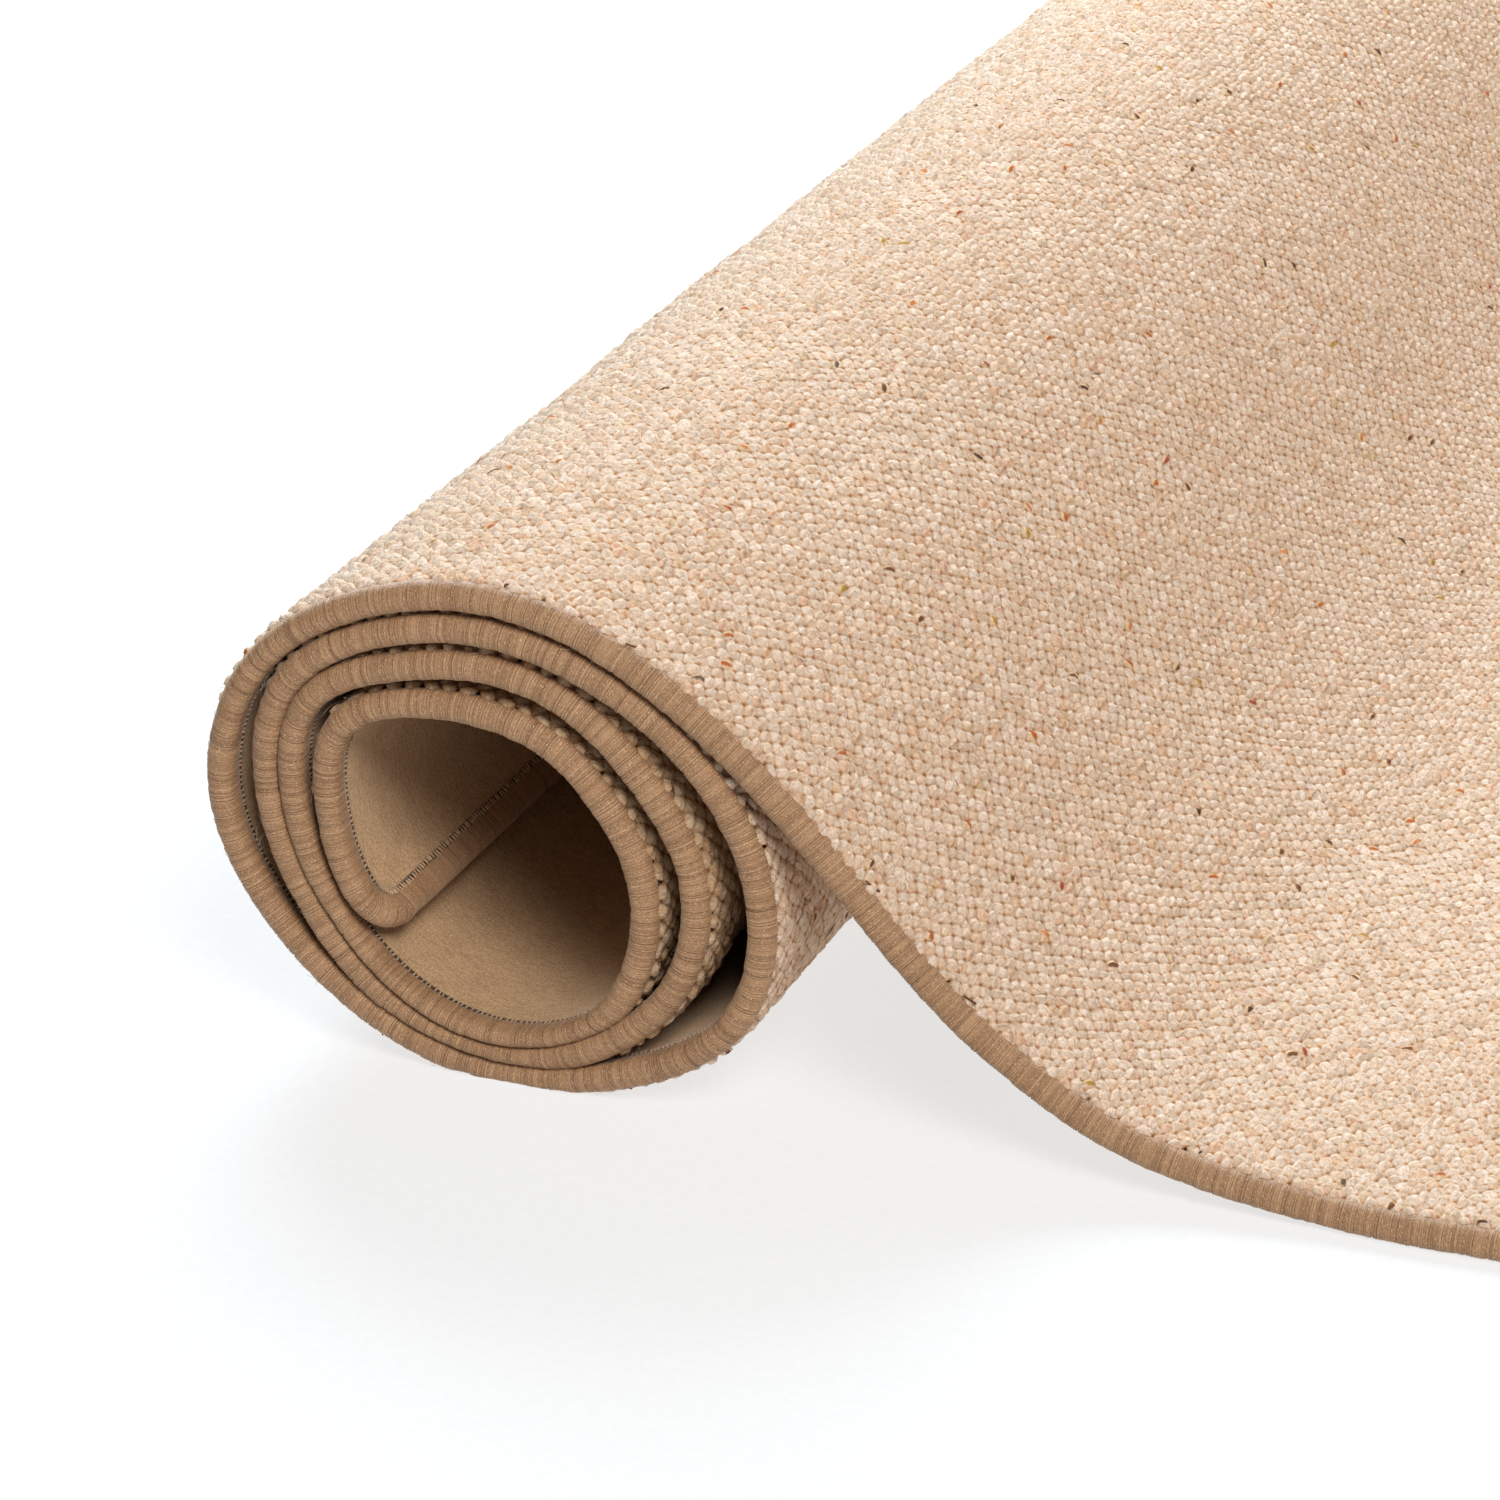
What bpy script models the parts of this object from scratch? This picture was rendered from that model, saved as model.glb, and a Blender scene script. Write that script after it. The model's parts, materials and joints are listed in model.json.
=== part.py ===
"""Rolled up carpet: loop-pile wool with a wrapped edge, wound pile outwards, its outer end run out flat.

The cloth is one rectangle with rounded corners. A place on it is given by its run (from the outer end, along
the winding, to the inner end), its across (from the front edge to the back edge, along +Y) and its height
above the back of the cloth. The winding is one line in the XZ plane, the back of the cloth, and it is the
same all along Y.

Two solids lie on that line. The carpet is the sheet of pile and backing. The serged edge is a bead of yarn
that runs round all four sides and the corners, a hair's breadth outside the carpet's cut edge.
"""

import math

import bpy
import numpy as np

MM = 0.001

# The carpet as cut, laid flat.
CARPET_LENGTH = 1.800
CARPET_WIDTH = 1.200
CARPET_THICKNESS = 0.0095
CORNER_RADIUS = 0.016

# The serged edge: how far the yarn reaches in from the cut edge, and how thick it is.
EDGE_REACH = 0.0080
EDGE_THICKNESS = 0.0075
EDGE_NOSE = 0.0022

# Clearances.
SEAM_GAP = 0.0003
TURN_GAP = 0.0005

# Where a turn presses on the next, the cloth is squeezed thinner. SQUEEZE_SOFTNESS rounds that off.
# LEAST_TURN is shorter than any turn, OPEN_ROOM stands for no turn outside this one, and PARALLEL guards a
# division.
SQUEEZE_SOFTNESS = 0.0004
LEAST_TURN = 0.060
OPEN_ROOM = 0.100
PARALLEL = 1e-12

# The winding, in millimetres: a row for each turn, with the distance from the roll's centre to the back of
# the cloth at each hour of a clock face seen from the front. The cloth comes in from the right at 3 o'clock
# and winds over the top, anticlockwise. The inner turn stops part way.
ROLL_CENTRE_HEIGHT = 0.0793
CLOCK_HOURS = (3, 2, 1, 12, 11, 10, 9, 8, 7, 6, 5, 4)
TURNS = {
    "outer": (112.0, 81.5, 73.0, 73.5, 77.5, 85.8, 86.7, 77.8, 73.3, 74.0, 78.5, 87.0),
    "second": (81.0, 69.8, 62.8, 63.0, 67.3, 75.0, 70.3, 65.2, 66.2, 68.5, 67.5, 66.0),
    "third": (60.0, 51.7, 50.2, 51.4, 55.8, 66.5, 62.0, 59.0, 60.5, 62.6, 60.8, 51.3),
    "inner": (42.3, 36.0, 35.2, 36.5, 43.0, 54.0, 50.5, 48.5),
}

# The inner end: the angle, anticlockwise from 3 o'clock, where the cloth stops, and its distance from the
# centre.
INNER_END_ANGLE = 228.0
INNER_END_RADIUS = 47.0

# The outer end runs down from the roll to the floor.
# Columns, in millimetres: out from the roll's centre, up from the floor.
RUN_OUT = (
    (290.0, 0.0),
    (270.0, 0.6),
    (245.0, 2.8),
    (220.0, 6.8),
    (195.0, 14.0),
    (170.0, 27.2),
    (145.0, 45.5),
    (126.0, 64.0),
)

# How finely the shape is cut into flat facets.
FACETS_PER_KNOT = 5
FLAT_FACETS = 3
CORNER_FACETS = 4
SHARP_ANGLE = math.radians(35.0)

# The section of the serged edge. Columns: share of its reach inwards, share of its thickness upwards.
EDGE_SECTION = (
    (0.0, 0.30),
    (0.0, 0.70),
    (EDGE_NOSE / EDGE_REACH, 1.0),
    (1.0, 1.0),
    (1.0, 0.0),
    (EDGE_NOSE / EDGE_REACH, 0.0),
)

PILE_COLOUR = (0.60, 0.44, 0.31, 1.0)
FELT_COLOUR = (0.33, 0.24, 0.15, 1.0)
YARN_COLOUR = (0.34, 0.22, 0.13, 1.0)
CLOTH_ROUGHNESS = 0.95


def natural_spline(knot, value, at):
    """Cubic spline through the rows of value at the knots, with no bend at its two ends."""
    count = len(knot)
    gap = np.diff(knot)[:, None]
    slope = np.diff(value, axis=0) / gap
    system = np.eye(count)
    pull = np.zeros_like(value)
    for i in range(1, count - 1):
        system[i, i - 1] = gap[i - 1, 0]
        system[i, i] = 2.0 * (gap[i - 1, 0] + gap[i, 0])
        system[i, i + 1] = gap[i, 0]
        pull[i] = 6.0 * (slope[i] - slope[i - 1])
    bend = np.linalg.solve(system, pull)
    left = np.clip(np.searchsorted(knot, at) - 1, 0, count - 2)
    after = (at - knot[left])[:, None]
    before = (knot[left + 1] - at)[:, None]
    width = gap[left]
    curved = (bend[left] * before**3 + bend[left + 1] * after**3) / (6.0 * width)
    straight_left = (value[left] / width - bend[left] * width / 6.0) * before
    straight_right = (value[left + 1] / width - bend[left + 1] * width / 6.0) * after
    return curved + straight_left + straight_right


def clock_angle(hour):
    """Radians from 3 o'clock, anticlockwise, of an hour on the clock face."""
    return math.radians(360.0) * ((3 - hour) % 12) / 12.0


def winding_knots():
    """The points that the tables name, from the floor to the inner end, as rows of x and z."""
    knots = [(out * MM, up * MM) for out, up in RUN_OUT]
    wound = []
    for turn in TURNS.values():
        wound += [(clock_angle(hour), radius) for hour, radius in zip(CLOCK_HOURS, turn)]
    wound.append((math.radians(INNER_END_ANGLE), INNER_END_RADIUS))
    for angle, radius in wound:
        x = radius * MM * math.cos(angle)
        z = ROLL_CENTRE_HEIGHT + radius * MM * math.sin(angle)
        knots.append((x, z))
    return np.array(knots)


def lengths_along(points):
    """Length of the line from its first point to each point."""
    steps = np.linalg.norm(np.diff(points, axis=0), axis=1)
    return np.concatenate([[0.0], np.cumsum(steps)])


class WoundCloth:
    """The back of the cloth as a line of facets, with the room each place has for the cloth's thickness."""

    def __init__(self):
        knots = winding_knots()
        knot = lengths_along(knots)
        at = np.interp(
            np.arange((len(knot) - 1) * FACETS_PER_KNOT + 1) / FACETS_PER_KNOT, np.arange(len(knot)), knot
        )
        curved = natural_spline(knot, knots, at)
        curved[:, 1] = np.maximum(curved[:, 1], 0.0)
        flat_length = CARPET_LENGTH - lengths_along(curved)[-1]
        flat_x = curved[0, 0] + flat_length * np.arange(FLAT_FACETS, 0, -1) / FLAT_FACETS
        flat = np.stack([flat_x, np.zeros(FLAT_FACETS)], axis=1)
        self.back = np.concatenate([flat, curved])
        self.run = lengths_along(self.back)
        self.outwards = self.pile_side()
        self.room = self.clear_height()

    def pile_side(self):
        """Unit normal at each point, towards the pile: above the flat end and away from the roll's centre."""
        along = np.gradient(self.back, self.run, axis=0)
        along /= np.linalg.norm(along, axis=1)[:, None]
        return np.stack([along[:, 1], -along[:, 0]], axis=1)

    def clear_height(self):
        """Height along each normal up to the back of the next turn out, less a gap, or OPEN_ROOM."""
        start = self.back[:-1]
        step = np.diff(self.back, axis=0)
        to_start = start[None] - self.back[:, None]
        ray = self.outwards[:, None]
        crossing = ray[..., 0] * step[None, :, 1] - ray[..., 1] * step[None, :, 0]
        crossing = np.where(np.abs(crossing) < PARALLEL, PARALLEL, crossing)
        height = (to_start[..., 0] * step[None, :, 1] - to_start[..., 1] * step[None, :, 0]) / crossing
        share = (to_start[..., 0] * ray[..., 1] - to_start[..., 1] * ray[..., 0]) / crossing
        same_turn = np.abs(self.run[:, None] - self.run[None, :-1]) < LEAST_TURN
        met = (height > 0.0) & (share >= 0.0) & (share <= 1.0) & ~same_turn
        return np.where(met, height, OPEN_ROOM).min(axis=1) - TURN_GAP

    def place(self, run, across, share, thickness):
        """Points in space at a share of the squeezed thickness above the back, pressed flat on the floor."""
        x = np.interp(run, self.run, self.back[:, 0])
        z = np.interp(run, self.run, self.back[:, 1])
        out_x = np.interp(run, self.run, self.outwards[:, 0])
        out_z = np.interp(run, self.run, self.outwards[:, 1])
        room = np.interp(run, self.run, self.room)
        squeezed = -SQUEEZE_SOFTNESS * np.logaddexp(-thickness / SQUEEZE_SOFTNESS, -room / SQUEEZE_SOFTNESS)
        height = share * squeezed
        return np.stack([x + out_x * height, across + 0.0 * x, np.maximum(z + out_z * height, 0.0)], axis=-1)

    def facets_between(self, low, high):
        """The runs of the facet lines that lie strictly between two runs."""
        return self.run[(self.run > low + MM) & (self.run < high - MM)]


def cloth_material(name, colour):
    """A rough cloth with no metal in it."""
    material = bpy.data.materials.new(name)
    material.use_nodes = True
    shader = material.node_tree.nodes["Principled BSDF"]
    shader.inputs["Base Color"].default_value = colour
    shader.inputs["Roughness"].default_value = CLOTH_ROUGHNESS
    shader.inputs["Metallic"].default_value = 0.0
    material.diffuse_color = colour
    return material


def mesh_object(name, points, faces, materials, slots=None):
    """An object from points and faces, its bends shaded smooth. The faces already turn outwards."""
    mesh = bpy.data.meshes.new(name)
    mesh.from_pydata([tuple(point) for point in points], [], faces)
    for material in materials:
        mesh.materials.append(material)
    if slots is not None:
        mesh.polygons.foreach_set("material_index", slots)
    mesh.shade_smooth()
    mesh.set_sharp_from_angle(angle=SHARP_ANGLE)
    made = bpy.data.objects.new(name, mesh)
    bpy.context.collection.objects.link(made)
    return made


def corner_inset(depth, radius):
    """How far a rounded corner has drawn the edge in, at a depth from the end of the sheet."""
    short = np.clip(radius - depth, 0.0, radius)
    return radius - np.sqrt(radius**2 - short**2)


def carpet_sheet(cloth):
    """The pile and backing as one sheet: four corners at each facet line, joined from line to line."""
    inset = EDGE_REACH + SEAM_GAP
    radius = CORNER_RADIUS - inset
    first = inset
    last = CARPET_LENGTH - inset
    rounding = radius * (1.0 - np.cos(np.linspace(0.0, math.pi / 2.0, CORNER_FACETS)))
    middle = cloth.facets_between(first + radius, last - radius)
    run = np.concatenate([first + rounding, middle, last - rounding[::-1]])
    drawn_in = corner_inset(np.minimum(run - first, last - run), radius)
    front = inset + drawn_in
    back = CARPET_WIDTH - front
    rows = [
        cloth.place(run, across, share, CARPET_THICKNESS)
        for across, share in ((front, 0.0), (back, 0.0), (back, 1.0), (front, 1.0))
    ]
    points = np.stack(rows, axis=1).reshape(-1, 3)
    faces = [(0, 1, 2, 3)]
    slots = [0]
    for i in range(len(run) - 1):
        for side in range(4):
            a = 4 * i + side
            b = 4 * i + (side + 1) % 4
            faces.append((a, a + 4, b + 4, b))
            slots.append(1 if side == 0 else 0)
    end = 4 * (len(run) - 1)
    faces.append((end + 3, end + 2, end + 1, end))
    slots.append(0)
    materials = [
        cloth_material("wool_loop_pile", PILE_COLOUR),
        cloth_material("felt_back", FELT_COLOUR),
    ]
    return mesh_object("carpet", points, faces, materials, slots)


def edge_outline(cloth):
    """The cut edge as one closed line: rows of run, across and the unit direction into the carpet."""
    far_run = CARPET_LENGTH - CORNER_RADIUS
    far_across = CARPET_WIDTH - CORNER_RADIUS
    long_side = cloth.facets_between(CORNER_RADIUS, far_run)
    rows = []

    def add_corner(centre_run, centre_across, start_angle):
        for angle in np.linspace(start_angle, start_angle + math.pi / 2.0, CORNER_FACETS + 1):
            run = centre_run + CORNER_RADIUS * math.cos(angle)
            across = centre_across + CORNER_RADIUS * math.sin(angle)
            rows.append((run, across, -math.cos(angle), -math.sin(angle)))

    rows += [(run, 0.0, 0.0, 1.0) for run in long_side]
    add_corner(far_run, CORNER_RADIUS, -math.pi / 2.0)
    add_corner(far_run, far_across, 0.0)
    rows += [(run, CARPET_WIDTH, 0.0, -1.0) for run in long_side[::-1]]
    add_corner(CORNER_RADIUS, far_across, math.pi / 2.0)
    add_corner(CORNER_RADIUS, CORNER_RADIUS, math.pi)
    return np.array(rows)


def serged_edge(cloth):
    """The bead of yarn: EDGE_SECTION carried round the outline, closed on itself."""
    outline = edge_outline(cloth)
    section = np.array(EDGE_SECTION)
    inwards = EDGE_REACH * section[None, :, 0]
    run = outline[:, 0, None] + outline[:, 2, None] * inwards
    across = outline[:, 1, None] + outline[:, 3, None] * inwards
    share = np.broadcast_to(section[None, :, 1], run.shape)
    points = cloth.place(run.ravel(), across.ravel(), share.ravel(), EDGE_THICKNESS)
    around = len(outline)
    sides = len(section)
    faces = []
    for i in range(around):
        for side in range(sides):
            here = i * sides
            there = (i + 1) % around * sides
            after = (side + 1) % sides
            faces.append((here + side, here + after, there + after, there + side))
    return mesh_object("serged_edge", points, faces, [cloth_material("serging_yarn", YARN_COLOUR)])


def centre_on_origin(pieces):
    """Puts the middle of the footprint over the origin. The cloth already lies on the floor, at z = 0."""
    corners = np.array([vertex.co[:] for piece in pieces for vertex in piece.data.vertices])
    middle = (corners.min(axis=0) + corners.max(axis=0)) / 2.0
    for piece in pieces:
        piece.location = (-middle[0], -middle[1], 0.0)


def main():
    for old in list(bpy.data.objects):
        bpy.data.objects.remove(old, do_unlink=True)
    cloth = WoundCloth()
    centre_on_origin([carpet_sheet(cloth), serged_edge(cloth)])


main()
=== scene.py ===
"""Looks of a rolled up carpet: loop pile, felt back, overcast edge, stitch line and stray fibres.

It is laid out as an add-on and is run as a script. Lengths are in metres. Every piece is worked out in the
cloth's own coordinates and then carried onto the winding:
run     from the outer end, along the winding, to the inner end,
across  from the front edge to the back edge, along +Y,
height  above the back of the cloth, towards the pile.
"""

import functools
import json
import math

import bpy
import numpy as np
from bpy.props import FloatProperty, FloatVectorProperty, PointerProperty
from bpy.types import Operator, Panel, PropertyGroup
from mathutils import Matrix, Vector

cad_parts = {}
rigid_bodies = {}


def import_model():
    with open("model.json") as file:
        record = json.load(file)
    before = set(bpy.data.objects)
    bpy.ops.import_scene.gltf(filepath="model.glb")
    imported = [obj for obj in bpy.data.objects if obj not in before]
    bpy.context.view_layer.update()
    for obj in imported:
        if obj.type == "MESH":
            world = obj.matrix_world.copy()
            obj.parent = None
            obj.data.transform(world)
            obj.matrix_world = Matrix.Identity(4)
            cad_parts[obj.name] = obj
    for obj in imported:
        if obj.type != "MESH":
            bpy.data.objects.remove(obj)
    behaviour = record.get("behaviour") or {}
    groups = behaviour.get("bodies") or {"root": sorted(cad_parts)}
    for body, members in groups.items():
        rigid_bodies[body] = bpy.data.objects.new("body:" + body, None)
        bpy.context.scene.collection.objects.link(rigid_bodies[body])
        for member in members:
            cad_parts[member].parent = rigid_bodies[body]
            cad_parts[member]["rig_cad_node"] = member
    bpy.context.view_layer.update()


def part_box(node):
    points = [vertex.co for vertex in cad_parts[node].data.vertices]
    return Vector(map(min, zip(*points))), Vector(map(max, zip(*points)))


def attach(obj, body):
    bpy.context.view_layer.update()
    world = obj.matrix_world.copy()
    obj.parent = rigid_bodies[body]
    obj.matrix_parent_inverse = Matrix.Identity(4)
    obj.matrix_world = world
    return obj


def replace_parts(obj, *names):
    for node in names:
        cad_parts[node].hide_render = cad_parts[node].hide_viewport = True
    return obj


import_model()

bl_info = {
    "name": "Rolled Up Carpet",
    "version": (1, 0, 0),
    "blender": (4, 5, 0),
    "location": "View3D > Sidebar > Carpet",
    "description": "Dresses a rolled up carpet with loop pile, felt and an overcast edge",
    "category": "Object",
}

MM = 0.001

# The carpet as cut.
CARPET_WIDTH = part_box("serged_edge")[1].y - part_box("serged_edge")[0].y
PILE_THICKNESS = 9.5 * MM
CORNER_RADIUS = 16.0 * MM
EDGE_THICKNESS = 7.5 * MM

# Where a turn presses on the next, the cloth is squeezed thinner. SQUEEZE_SOFTNESS rounds that off.
# LEAST_TURN is shorter than any turn, OPEN_ROOM stands for no turn outside this one, and PARALLEL guards a
# division.
TURN_GAP = 0.5 * MM
SQUEEZE_SOFTNESS = 0.4 * MM
LEAST_TURN = 60.0 * MM
OPEN_ROOM = 100.0 * MM
PARALLEL = 1e-12
LINE_STEP = 1.5 * MM

# The winding, in millimetres: a row for each turn, with the distance from the roll's centre to the back of
# the cloth at each hour of a clock face seen from the front. The cloth comes in from the right at 3 o'clock
# and winds over the top, anticlockwise. The inner turn stops part way.
ROLL_CENTRE_HEIGHT = 79.3 * MM
CLOCK_HOURS = (3, 2, 1, 12, 11, 10, 9, 8, 7, 6, 5, 4)
TURNS = {
    "outer": (112.0, 81.5, 73.0, 73.5, 77.5, 85.8, 86.7, 77.8, 73.3, 74.0, 78.5, 87.0),
    "second": (81.0, 69.8, 62.8, 63.0, 67.3, 75.0, 70.3, 65.2, 66.2, 68.5, 67.5, 66.0),
    "third": (60.0, 51.7, 50.2, 51.4, 55.8, 66.5, 62.0, 59.0, 60.5, 62.6, 60.8, 51.3),
    "inner": (42.3, 36.0, 35.2, 36.5, 43.0, 54.0, 50.5, 48.5),
}
INNER_END_ANGLE = 228.0
INNER_END_RADIUS = 47.0

# The outer end runs down from the roll to the floor.
# Columns, in millimetres: out from the roll's centre, up from the floor.
RUN_OUT = (
    (290.0, 0.0), (270.0, 0.6), (245.0, 2.8), (220.0, 6.8), (195.0, 14.0), (170.0, 27.2), (145.0, 45.5),
    (126.0, 64.0))


# ---------------- the winding


def natural_spline(knot, value, at):
    """Cubic spline through the rows of value at the knots, with no bend at its two ends."""
    count = len(knot)
    gap = np.diff(knot)[:, None]
    slope = np.diff(value, axis=0) / gap
    system = np.eye(count)
    pull = np.zeros_like(value)
    inner = np.arange(1, count - 1)
    system[inner, inner - 1] = gap[:-1, 0]
    system[inner, inner] = 2.0 * (gap[:-1, 0] + gap[1:, 0])
    system[inner, inner + 1] = gap[1:, 0]
    pull[inner] = 6.0 * (slope[1:] - slope[:-1])
    bend = np.linalg.solve(system, pull)
    left = np.clip(np.searchsorted(knot, at) - 1, 0, count - 2)
    after = (at - knot[left])[:, None]
    before = (knot[left + 1] - at)[:, None]
    width = gap[left]
    curved = (bend[left] * before**3 + bend[left + 1] * after**3) / (6.0 * width)
    straight_left = (value[left] / width - bend[left] * width / 6.0) * before
    straight_right = (value[left + 1] / width - bend[left + 1] * width / 6.0) * after
    return curved + straight_left + straight_right


def winding_knots():
    """The points that the tables name, from the floor to the inner end.

    Each row is x from the roll's centre and z. A turn's points are its radii laid off at equal angles.
    """
    out, up = np.array(RUN_OUT).T * MM
    radius = np.concatenate([np.concatenate(list(TURNS.values())), [INNER_END_RADIUS]]) * MM
    hours = np.arange(len(radius) - 1)
    angle = math.radians(360.0 / len(CLOCK_HOURS)) * hours
    angle = np.append(angle, math.radians(360.0 * (len(TURNS) - 1) + INNER_END_ANGLE))
    wound = np.stack([radius * np.cos(angle), ROLL_CENTRE_HEIGHT + radius * np.sin(angle)], axis=1)
    return np.concatenate([np.stack([out, up], axis=1), wound])


def lengths_along(points):
    """Length of the line from its first point to each point."""
    steps = np.linalg.norm(np.diff(points, axis=0), axis=1)
    return np.concatenate([[0.0], np.cumsum(steps)])


def soft_least(a, b):
    """The lesser of two lengths, its corner rounded off."""
    return -SQUEEZE_SOFTNESS * np.logaddexp(-a / SQUEEZE_SOFTNESS, -b / SQUEEZE_SOFTNESS)


class Winding:
    """The back of the cloth as one smooth line in the XZ plane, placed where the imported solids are."""

    def __init__(self):
        knots = winding_knots()
        knot = lengths_along(knots)
        at = np.linspace(0.0, knot[-1], math.ceil(knot[-1] / LINE_STEP) + 1)
        curved = natural_spline(knot, knots, at)
        curved[:, 1] = np.maximum(curved[:, 1], 0.0)
        self.measure(curved)
        leftmost = (self.back[:, 0] + self.outwards[:, 0] * soft_least(PILE_THICKNESS, self.room)).min()
        curved[:, 0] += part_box("carpet")[0].x - leftmost
        flat_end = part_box("serged_edge")[1].x
        flat_count = math.ceil((flat_end - curved[0, 0]) / LINE_STEP)
        flat = np.zeros((flat_count, 2))
        flat[:, 0] = np.linspace(flat_end, curved[0, 0], flat_count, endpoint=False)
        self.measure(np.concatenate([flat, curved]))
        self.length = self.run[-1]

    def measure(self, back):
        """Keeps the line, the run, the unit normal towards the pile and the room at each of its points."""
        self.back = back
        self.run = lengths_along(back)
        along = np.gradient(back, self.run, axis=0)
        along /= np.linalg.norm(along, axis=1)[:, None]
        self.outwards = np.stack([along[:, 1], -along[:, 0]], axis=1)
        self.room = self.clear_height()

    def clear_height(self):
        """Height along each normal up to the back of the next turn out, less a gap, or OPEN_ROOM."""
        start = self.back[:-1]
        step = np.diff(self.back, axis=0)
        to_start = start[None] - self.back[:, None]
        ray = self.outwards[:, None]
        crossing = ray[..., 0] * step[None, :, 1] - ray[..., 1] * step[None, :, 0]
        crossing = np.where(np.abs(crossing) < PARALLEL, PARALLEL, crossing)
        height = (to_start[..., 0] * step[None, :, 1] - to_start[..., 1] * step[None, :, 0]) / crossing
        share = (to_start[..., 0] * ray[..., 1] - to_start[..., 1] * ray[..., 0]) / crossing
        same_turn = np.abs(self.run[:, None] - self.run[None, :-1]) < LEAST_TURN
        met = (height > 0.0) & (share >= 0.0) & (share <= 1.0) & ~same_turn
        return np.where(met, height, OPEN_ROOM).min(axis=1) - TURN_GAP

    def place(self, run, across, height, full):
        """Points in space: the back line at run, plus the normal times the height, pressed flat on the floor.

        Heights are those of free cloth. They shrink as much as a cloth of thickness full is squeezed there.
        """
        x, z, out_x, out_z, room = (
            np.interp(run, self.run, values)
            for values in (*self.back.T, *self.outwards.T, self.room)
        )
        risen = height * soft_least(full, room) / full
        y = across - 0.5 * CARPET_WIDTH + 0.0 * x
        return np.stack([x + out_x * risen, y, np.maximum(z + out_z * risen, 0.0)], axis=-1)


# ---------------- the cloth's own plane


# Uneven weights and a large gain, so that the fractions below come out as if by chance.
SCATTER_WEIGHTS = (12.9898, 78.233, 37.719)
SCATTER_GAIN = 43758.5453


def scatter(first, second, seed):
    """A fixed random share of 0 to 1 for each pair of whole numbers: the fraction of a large sine."""
    by_first, by_second, by_seed = SCATTER_WEIGHTS
    sine = np.sin(first * by_first + second * by_second + seed * by_seed) * SCATTER_GAIN
    return sine - np.floor(sine)


def waves(at, longest, shortest, count, seed):
    """A smooth wander of about -1 to 1: the sum of count sines between two wavelengths, over count's root."""
    random = np.random.default_rng(seed)
    lengths = np.geomspace(longest, shortest, count)
    phases = random.uniform(0.0, math.tau, count)
    sines = (np.sin(math.tau * at / length + phase) for length, phase in zip(lengths, phases))
    return sum(sines) / math.sqrt(count)


def depth_from_edge(run, across):
    """Distance in from the cut edge of the flat carpet, a rectangle with rounded corners."""
    short_run = CORNER_RADIUS - np.minimum(run, WINDING.length - run)
    short_across = CORNER_RADIUS - np.minimum(across, CARPET_WIDTH - across)
    round_corner = np.hypot(np.maximum(short_run, 0.0), np.maximum(short_across, 0.0))
    return CORNER_RADIUS - round_corner - np.minimum(np.maximum(short_run, short_across), 0.0)


class CutEdge:
    """The cut edge of the flat carpet as one closed line, from the front edge's start at the outer end.

    Its eight stretches are sides and quarter circles in turn. A rectangle CORNER_RADIUS in from the edge and
    the angle of the way out are straight lines between their ends, and the edge is one plus the other. Its
    front is the front side with the two corners beside it, where it starts and where it ends.
    """

    def __init__(self, length):
        near = CORNER_RADIUS
        far_run = length - CORNER_RADIUS
        far_across = CARPET_WIDTH - CORNER_RADIUS
        corner = 0.5 * math.pi * CORNER_RADIUS
        sides = [far_run - near, corner, far_across - near, corner] * 2
        self.mark = np.concatenate([[0.0], np.cumsum(sides)])
        self.total = self.mark[-1]
        self.front = (self.mark[7] - self.total, self.mark[2])
        self.corner_run = np.array([near, far_run, far_run, far_run, far_run, near, near, near, near])
        self.corner_across = np.array(
            [near, near, near, far_across, far_across, far_across, far_across, near, near]
        )
        self.angle = np.radians([-90.0, -90.0, 0.0, 0.0, 90.0, 90.0, 180.0, 180.0, 270.0])

    def inside(self, along, depth):
        """Run and across at a length along the edge and a depth in from it."""
        along = np.mod(along, self.total)
        angle = np.interp(along, self.mark, self.angle)
        reach = CORNER_RADIUS - depth
        run = np.interp(along, self.mark, self.corner_run) + reach * np.cos(angle)
        across = np.interp(along, self.mark, self.corner_across) + reach * np.sin(angle)
        return run, across


# ---------------- meshes


def mesh_piece(name, points, faces, materials, uv=None, corner_uv=None, slots=None):
    """A smooth-shaded object. Its UV map has a row for each point, or for each corner of each face."""
    mesh = bpy.data.meshes.new(name)
    mesh.from_pydata(points.tolist(), [], faces)
    for material in materials:
        mesh.materials.append(material)
    if slots is not None:
        mesh.polygons.foreach_set("material_index", slots)
    if uv is not None:
        corner = np.empty(len(mesh.loops), np.int32)
        mesh.loops.foreach_get("vertex_index", corner)
        corner_uv = uv[corner]
    if corner_uv is not None:
        mesh.uv_layers.new(name="cloth").data.foreach_set("uv", corner_uv.astype(np.float32).ravel())
    mesh.shade_smooth()
    made = bpy.data.objects.new(name, mesh)
    bpy.context.collection.objects.link(made)
    return made


def tube_faces(count, around, closed):
    """Quads between count rings of around points each, and two end faces unless the tube closes on itself."""
    ring = np.arange(count if closed else count - 1)[:, None] * around
    side = np.arange(around)[None]
    after = (side + 1) % around
    next_ring = (ring + around) % (count * around)
    quads = np.stack([ring + side, next_ring + side, next_ring + after, ring + after], axis=-1)
    faces = quads.reshape(-1, 4).tolist()
    if not closed:
        faces += [list(range(around)), list(range((count - 1) * around, count * around))[::-1]]
    return faces


def many_tubes(count, rings):
    """Faces of many three-sided tubes, one after the other, each of so many rings and closed at its ends."""
    one = tube_faces(rings, 3, closed=False)
    offsets = 3 * rings * np.arange(count)[:, None, None]
    sides, ends = offsets + np.array(one[:-2]), offsets + np.array(one[-2:])
    return sides.reshape(-1, 4).tolist() + ends.reshape(-1, 3).tolist()


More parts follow.
